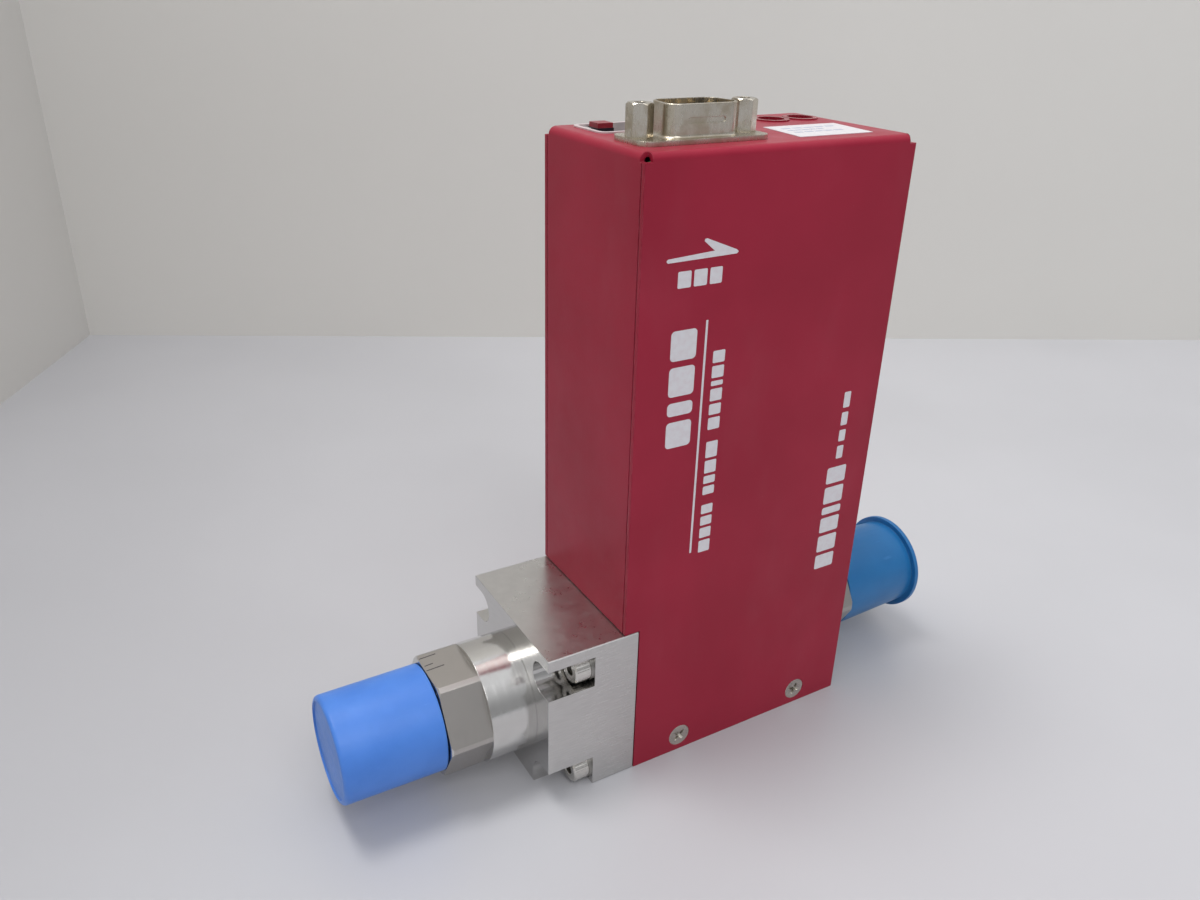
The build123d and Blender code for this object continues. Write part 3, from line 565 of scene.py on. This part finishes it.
# Fittings
# Each is turned from one stainless bar: a bright round part, a hexagon with milled satin flats,
# and a threaded nose under its cap. The turned faces keep very fine rings.
def turned_steel(name, hex_from, hex_to):
    """Bright where it is round, satin with cross grain on the hexagon's flats between two X stations."""
    material, tree, shader = new_material(name)
    place = add(tree, "ShaderNodeSeparateXYZ", {"Vector": place_of(tree)})
    middle = (hex_from + hex_to) / 2
    reach = abs(hex_to - hex_from) / 2
    away = maths(tree, "ABSOLUTE", maths(tree, "SUBTRACT", place.outputs["X"], middle))
    in_hex = span(tree, away, reach - 0.05 * mm, reach + 0.05 * mm, 1.0, 0.0)
    geometry = add(tree, "ShaderNodeNewGeometry")
    normal = add(tree, "ShaderNodeSeparateXYZ", {"Vector": geometry.outputs["True Normal"]})
    end_on = span(tree, maths(tree, "ABSOLUTE", normal.outputs["X"]), 0.3, 0.6, 1.0, 0.0)
    milled = maths(tree, "MULTIPLY", in_hex, end_on)
    rings = noise(tree, place_of(tree, (1.0, 0.02, 0.02)), 1500.0, 2.0)
    grain = use(tree, ground_grain, Place=place_of(tree, (12.0, 1.0, 1.0)), Scale=330.0)
    cloud = noise(tree, place_of(tree), 150.0, 3.0)
    bright, satin = (0.66, 0.65, 0.63, 1), (0.47, 0.445, 0.42, 1)
    tone = blend_colours(tree, milled, bright, satin)
    tone = blend_colours(tree, span(tree, cloud, 0.5, 0.8, 0.0, 0.25), tone, (0.42, 0.40, 0.38, 1))
    join(tree, tone, shader.inputs["Base Color"])
    shader.inputs["Metallic"].default_value = 1.0
    smooth_rough = span(tree, rings, 0.3, 0.7, 0.12, 0.2, smooth=False)
    satin_rough = span(tree, grain["Height"], 0.3, 0.7, 0.28, 0.4, smooth=False)
    join(tree, blend_values(tree, milled, smooth_rough, satin_rough), shader.inputs["Roughness"])
    height = blend_values(tree, milled, maths(tree, "MULTIPLY", rings, 0.35), grain["Height"])
    edges = use(tree, edge_highlight_and_wear, Radius=0.25 * mm, Breakup=300.0)
    join(tree, bump(tree, height, 0.004 * mm, edges["Normal"]), shader.inputs["Normal"])
    return material


inlet_hex = (inlet_low.x - 21.2 * mm, inlet_low.x - 11.1 * mm)
outlet_hex = (cover_high.x, cover_high.x + 10.0 * mm)
paint("inlet_fitting", turned_steel("inlet fitting steel", *inlet_hex))
paint("outlet_fitting", turned_steel("outlet fitting steel", *outlet_hex))


# Strokes scribed on the inlet hexagon
# Three short dark strokes at the cap's end of the top flat, as a fitter scribes them; their dark colour is
# painted shade for each stroke's groove, drawn as a thin film.
flat_half = 12.7 * mm
stroke_width = 0.32
stroke_depth = 0.02 * mm
stroke_lean = 0.2
axis_height = (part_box("inlet_fitting")[0].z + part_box("inlet_fitting")[1].z) / 2


def on_top_flat(points):
    """From distance off the cap's end and across the flat in millimetres to the hexagon's top flat."""
    return np.column_stack([inlet_hex[0] + points[:, 0] * mm, points[:, 1] * mm,
                            axis_height + flat_half + points[:, 2]])


def stroke(start, end, width):
    """Slim four-sided outline between two points of the flat."""
    a, b = np.array(start, float), np.array(end, float)
    along = (b - a) / np.linalg.norm(b - a)
    side = np.array([-along[1], along[0]]) * width / 2
    return np.array([a - side, b - side, b + side, a + side])


def scribe_painted_shade():
    """Painted shade for the bottom of a scribed line, which is drawn as a thin film and not cut."""
    material, tree, shader = new_material("scribed line")
    tone = span(tree, noise(tree, place_of(tree), 1800.0, 2.0), 0.3, 0.7)
    mottled = blend_colours(tree, tone, (0.05, 0.045, 0.05, 1), (0.13, 0.12, 0.12, 1))
    join(tree, mottled, shader.inputs["Base Color"])
    shader.inputs["Roughness"].default_value = 0.6
    return material


marks = [stroke((start, y), (end, y + stroke_lean), stroke_width)
         for start, end, y in ((0.3, 4.4, 5.3), (0.5, 2.6, 2.25), (0.3, 4.7, 0.5))]
mark_points, mark_faces = prism(marks, on_top_flat, film_lift, stroke_depth)
scribes = outward(new_piece("hex_scribes", mark_points, mark_faces, scribe_painted_shade()))


# Protective caps
# Soft polyethylene caps pushed over the threads: light blue at the inlet, darker at the outlet.
# Moulded satin, a little see-through at the rim, with scuffs along their sides and paler edges from a painted
# highlight.
def cap_plastic(name, light, deep, roughness):
    """Satin polyethylene: cloudy colour, faint lengthwise drag lines, pale scuffs and a painted highlight
    that pales the edges.
    """
    material, tree, shader = new_material(name)
    place = place_of(tree)
    cloud = noise(tree, place, 110.0, 3.0)
    base = blend_colours(tree, span(tree, cloud, 0.3, 0.7), light, deep)
    drag = noise(tree, place_of(tree, (0.12, 1.0, 1.0)), 700.0, 3.0, 0.6)
    scuffs = maths(tree, "MULTIPLY", span(tree, drag, 0.62, 0.8), span(tree, cloud, 0.45, 0.65))
    edges = use(tree, edge_highlight_and_wear, Radius=0.5 * mm, Breakup=260.0)
    # The edge mask pales the rims: a painted highlight in wear-like patches, next to the real scuffs.
    scuffed, rim_highlight_and_wear = maths(tree, "MULTIPLY", scuffs, 0.35), maths(tree, "MULTIPLY", edges["Mask"], 0.3)
    pale = maths(tree, "MAXIMUM", scuffed, rim_highlight_and_wear)
    paler = tuple(min(1.0, c * 1.5 + 0.08) for c in light[:3]) + (1,)
    join(tree, blend_colours(tree, pale, base, paler), shader.inputs["Base Color"])
    join(tree, span(tree, drag, 0.3, 0.7, roughness - 0.05, roughness + 0.06, smooth=False),
         shader.inputs["Roughness"])
    grain = noise(tree, place, 1300.0, 2.0)
    join(tree, bump(tree, grain, 0.01 * mm, edges["Normal"]), shader.inputs["Normal"])
    shader.inputs["Subsurface Weight"].default_value = 0.12
    shader.inputs["Subsurface Scale"].default_value = 1.5 * mm
    shader.inputs["Subsurface Radius"].default_value = (0.3, 0.5, 1.0)
    return material


paint("inlet_cap", cap_plastic(
    "light blue polyethylene", (0.078, 0.25, 0.76, 1), (0.062, 0.22, 0.70, 1), 0.42))
paint("outlet_cap", cap_plastic(
    "dark blue polyethylene", (0.014, 0.165, 0.42, 1), (0.010, 0.145, 0.38, 1), 0.38))


# Connector
# Nine-way D connector: drawn nickel-plated shell and flange, black insulator, gilt pins,
# and two hexagon screw locks that hold it to the cover.
def nickel(name, tint, roughness):
    """Nickel plate over drawn steel: warm grey, fine drawing lines and tarnished clouds."""
    material, tree, shader = new_material(name)
    lines = noise(tree, place_of(tree, (1.0, 1.0, 0.08)), 2200.0, 3.0, 0.6)
    cloud = noise(tree, place_of(tree), 260.0, 4.0, 0.6)
    tarnish = tuple(c * f for c, f in zip(tint[:3], (0.78, 0.74, 0.66))) + (1,)
    join(tree, blend_colours(tree, span(tree, cloud, 0.42, 0.72), tint, tarnish), shader.inputs["Base Color"])
    shader.inputs["Metallic"].default_value = 1.0
    rough = span(tree, lines, 0.3, 0.7, roughness - 0.05, roughness + 0.05, smooth=False)
    join(tree, maths(tree, "ADD", rough, span(tree, cloud, 0.4, 0.8, 0.0, 0.1)), shader.inputs["Roughness"])
    edges = use(tree, edge_highlight_and_wear, Radius=0.18 * mm, Breakup=400.0)
    join(tree, bump(tree, lines, 0.003 * mm, edges["Normal"]), shader.inputs["Normal"])
    return material


def moulded(name, colour, roughness):
    """Moulded plastic: slight colour drift and a fine spark-eroded grain."""
    material, tree, shader = new_material(name)
    drift = noise(tree, place_of(tree), 200.0, 3.0)
    darker = tuple(c * 0.8 for c in colour[:3]) + (1,)
    join(tree, blend_colours(tree, span(tree, drift, 0.3, 0.7), colour, darker), shader.inputs["Base Color"])
    texture = noise(tree, place_of(tree), 1500.0, 2.0)
    join(tree, span(tree, texture, 0.3, 0.7, roughness - 0.05, roughness + 0.07, smooth=False),
         shader.inputs["Roughness"])
    join(tree, bump(tree, texture, 0.01 * mm), shader.inputs["Normal"])
    return material


shell_nickel = nickel("drawn nickel", (0.60, 0.555, 0.47, 1), 0.27)
lock_nickel = nickel("turned nickel", (0.62, 0.58, 0.50, 1), 0.24)
paint("connector_shell", shell_nickel)
paint("jackscrews", lock_nickel)
paint("jackscrew_nuts", lock_nickel)
black_plastic = moulded("black moulding", (0.022, 0.022, 0.024, 1), 0.45)
paint("connector_insulator", black_plastic)
paint("connector_pins", bright_steel("gilt", (0.66, 0.48, 0.24, 1), 0.3))


# Window in the top
# A pale plastic rim clipped into its cut-out. A black socket on the board below stands in it,
# with a red cap pushed on and a milky light guide beside it; the socket's black is also painted shade for the
# window's deep inside.
paint("window_bezel", moulded("pale rim", (0.66, 0.56, 0.57, 1), 0.4))
# Near-black: the socket's own colour, and painted shade filling the window's shaded depth.
paint("service_header", moulded("socket and painted window shade", (0.02, 0.012, 0.022, 1), 0.35))
paint("header_shunt", moulded("red cap", (0.30, 0.015, 0.03, 1), 0.32))
paint("light_pipe", moulded("milky guide", (0.78, 0.78, 0.74, 1), 0.25))


# Hole plugs
# Red plastic cup plugs, moulded with a thin lip that stays on the cover.
# They are snapped into the two round holes and are glossy on their lips.
paint("hole_plugs", moulded("red plug", (0.30, 0.014, 0.03, 1), 0.24))


# Label on the top
# A small printed paper label, stuck on slightly askew, with faint grey bars for its lines.
label_corners = np.array([(41.1, 5.4), (61.3, 5.4), (63.2, 19.95), (43.0, 19.9)])
label_thickness = 0.12 * mm
label_ink = 0.02 * mm
bars_a_line = 5
bar_share = 0.16
line_height = 0.07


def on_top(points):
    """From inlet edge and front edge in millimetres to the cover's top, height upwards."""
    return np.column_stack([cover_low.x + points[:, 0] * mm, cover_low.y + points[:, 1] * mm,
                            cover_high.z + points[:, 2]])


def paper(name, colour):
    """Coated paper: slight unevenness and a faint fibre."""
    material, tree, shader = new_material(name)
    fibre = noise(tree, place_of(tree), 900.0, 4.0, 0.7)
    darker = tuple(c * 0.9 for c in colour[:3]) + (1,)
    join(tree, blend_colours(tree, span(tree, fibre, 0.3, 0.7), colour, darker), shader.inputs["Base Color"])
    join(tree, span(tree, fibre, 0.3, 0.7, 0.45, 0.6), shader.inputs["Roughness"])
    join(tree, bump(tree, fibre, 0.005 * mm), shader.inputs["Normal"])
    return material


def skewed(outline):
    """Place a label-sized drawing, 0 to 1 both ways, on the label's own corners."""
    flat = np.array(outline, float)
    u, v = flat[:, :1], flat[:, 1:]
    a, b, c, d = label_corners
    return (1 - v) * ((1 - u) * a + u * b) + v * ((1 - u) * d + u * c)


label_points, label_faces = prism([label_corners], on_top, film_lift, label_thickness)
label = outward(new_piece("top_label", label_points, label_faces,
                          paper("label paper", (0.70, 0.68, 0.70, 1))))
line_rows = ((0.12, 0.88, 0.70), (0.12, 0.62, 0.52), (0.12, 0.80, 0.34))
label_bars = []
for left, right, row in line_rows:
    reach = (right - left) * bar_share
    for part in range(bars_a_line):
        start = left + (right - left) * part / bars_a_line
        label_bars.append(skewed([(start, row), (start + reach, row),
                                  (start + reach, row + line_height), (start, row + line_height)]))
bar_points, bar_faces = prism(label_bars, on_top, label_thickness, label_thickness + label_ink)
lines = outward(new_piece("label_lines", bar_points, bar_faces, paper("label ink", (0.46, 0.48, 0.58, 1))))


# Inner parts
# Flow element, heated sensor, stack valve, seals and circuit boards, closed in by cover and blocks.
# They are screwed to the base block or clamped in it, each in its own plain workshop finish.
def circuit_board():
    """Green solder mask over woven glass, with a faint mesh of tracks."""
    material, tree, shader = new_material("circuit board")
    place = place_of(tree)
    weave = add(tree, "ShaderNodeTexBrick", {
        "Vector": place, "Scale": 220.0, "Color1": (0.012, 0.085, 0.03, 1), "Color2": (0.02, 0.11, 0.04, 1),
        "Mortar": (0.03, 0.15, 0.06, 1), "Mortar Size": 0.01})
    join(tree, weave.outputs["Color"], shader.inputs["Base Color"])
    join(tree, span(tree, noise(tree, place, 300.0, 2.0), 0.3, 0.7, 0.25, 0.4), shader.inputs["Roughness"])
    return material


inner_steel = ground_steel("inner steel", (0.55, 0.54, 0.52, 1), (1.0, 1.0, 8.0), 300.0, 0.3)
inner_screw = bright_steel("inner screw", (0.5, 0.49, 0.46, 1), 0.28)
for name in ("sensor_base", "valve_seat", "valve_spacer", "valve_diaphragm", "valve_housing", "valve_plunger",
             "valve_lock_nut", "bypass_element", "sensor_tube", "sensor_housing", "board_bracket"):
    paint(name, inner_steel)
for name in ("sensor_screws", "valve_screws", "bracket_screws", "board_screws", "inlet_gasket",
             "sensor_seals", "inlet_filter"):
    paint(name, inner_screw)
board_green = circuit_board()
for name in ("main_board", "top_board"):
    paint(name, board_green)
for name in ("board_chips", "board_header"):
    paint(name, black_plastic)
paint("sensor_windings", moulded("varnished coil", (0.35, 0.14, 0.04, 1), 0.3))
paint("piezo_stack", moulded("stack coating", (0.42, 0.3, 0.16, 1), 0.4))
paint("valve_adjuster", bright_steel("brass plug", (0.72, 0.52, 0.22, 1), 0.25))


# Table and walls
# A pale, faintly glossy table top and two plain walls close behind: stage, not part of the object.
# The walls are clear from behind, so that every view sees the object.
def stage_material(name, colour, roughness, cloud_scale, cloud, clear_behind):
    """Pale painted surface with soft large unevenness; clear_behind lets a view from behind through."""
    material, tree, shader = new_material(name)
    drift = noise(tree, place_of(tree), cloud_scale, 3.0)
    darker = tuple(c * (1 - cloud) for c in colour[:3]) + (1,)
    mottled = blend_colours(tree, span(tree, drift, 0.35, 0.65), colour, darker)
    join(tree, mottled, shader.inputs["Base Color"])
    shader.inputs["Roughness"].default_value = roughness
    if clear_behind:
        behind = add(tree, "ShaderNodeNewGeometry").outputs["Backfacing"]
        clear = add(tree, "ShaderNodeBsdfTransparent")
        mix = add(tree, "ShaderNodeMixShader",
                  {0: behind, 1: shader.outputs["BSDF"], 2: clear.outputs["BSDF"]})
        out = next(node for node in tree.nodes if node.type == "OUTPUT_MATERIAL")
        join(tree, mix.outputs["Shader"], out.inputs["Surface"])
    return material


def stage_sheet(name, corners, material):
    """One flat four-cornered sheet of the set."""
    data = bpy.data.meshes.new(name)
    data.from_pydata(corners, [], [(0, 1, 2, 3)])
    data.materials.append(material)
    sheet = bpy.data.objects.new(name, data)
    bpy.context.scene.collection.objects.link(sheet)
    return sheet


wall_corner = Vector((-0.1166, 0.3862, 0.0))
back_wall_end = wall_corner + 4 * Vector((0.5439, -0.2779, 0.0))
side_wall_end = wall_corner + 16 * Vector((-0.0435, -0.0835, 0.0))
wall_height = Vector((0, 0, 0.62))
table_reach = 3.0
table_paint = stage_material("table top", (0.55, 0.55, 0.575, 1), 0.34, 6.0, 0.05, False)
wall_paint = stage_material("wall paint", (0.74, 0.725, 0.69, 1), 0.8, 3.0, 0.03, True)
stage_sheet("table_top", [(-table_reach, -table_reach, 0), (table_reach, -table_reach, 0),
                          (table_reach, table_reach, 0), (-table_reach, table_reach, 0)], table_paint)
stage_sheet("back_wall", [wall_corner, back_wall_end, back_wall_end + wall_height, wall_corner + wall_height],
            wall_paint)
stage_sheet("side_wall", [side_wall_end, wall_corner, wall_corner + wall_height, side_wall_end + wall_height],
            wall_paint)


# Camera and light
# The photograph's own view, a wide lens close above the inlet end. One broad ceiling lamp, one soft fill
# from the front, and a plain sky that is brighter above and behind than towards the camera.
photo_focal_px = 977.871
photo_width_px = 1200
camera_place = Vector((-134.011, -173.548, 176.327)) * mm
azimuth, elevation, roll = math.radians(-30.787), math.radians(25.736), math.radians(1.489)
back = Vector((math.sin(azimuth) * math.cos(elevation), -math.cos(azimuth) * math.cos(elevation),
               math.sin(elevation)))
right = (-back).cross(Vector((0, 0, 1))).normalized()
up = right.cross(-back)
camera_right = right * math.cos(roll) + up * math.sin(roll)
camera_up = up * math.cos(roll) - right * math.sin(roll)
camera = bpy.data.objects.new("camera", bpy.data.cameras.new("camera"))
bpy.context.scene.collection.objects.link(camera)
camera.data.sensor_width = 36.0
camera.data.lens = photo_focal_px / photo_width_px * camera.data.sensor_width
camera.data.clip_start, camera.data.clip_end = 0.005, 20.0
camera.matrix_world = Matrix.Translation(camera_place) @ Matrix(
    (camera_right, camera_up, back)).transposed().to_4x4()
bpy.context.scene.camera = camera


def soft_lamp(name, place, aim, size, power, colour=(1, 1, 1)):
    """Square area lamp that looks at a point."""
    light = bpy.data.lights.new(name, "AREA")
    light.shape = "SQUARE"
    light.size = size
    light.energy = power
    light.color = colour
    lamp = bpy.data.objects.new(name, light)
    bpy.context.scene.collection.objects.link(lamp)
    lamp.location = place
    lamp.rotation_mode = "QUATERNION"
    lamp.rotation_quaternion = (Vector(aim) - Vector(place)).to_track_quat("-Z", "Y")
    return lamp


soft_lamp("ceiling_lamp", (-0.32, 0.22, 1.3), (0.0, 0.0, 0.05), 0.45, 8.6, (1.0, 0.99, 0.97))
soft_lamp("front_fill", (-0.1, -1.1, 1.3), (0.0, 0.0, 0.05), 0.8, 6.2, (0.99, 0.99, 1.0))
world = bpy.data.worlds.new("room")
bpy.context.scene.world = world
world.use_nodes = True
room = world.node_tree
sky = room.nodes["Background"]
towards = add(room, "ShaderNodeTexCoord").outputs["Generated"]
brighter_way = (-0.25, 0.45, 0.86)
tilted = add(room, "ShaderNodeVectorMath", {0: towards, 1: brighter_way}, operation="DOT_PRODUCT")
join(room, span(room, tilted.outputs["Value"], -0.35, 0.75, 0.36, 0.95), sky.inputs["Strength"])
sky.inputs["Color"].default_value = (0.95, 0.965, 1.0, 1)
bpy.context.scene.view_settings.view_transform = "Standard"
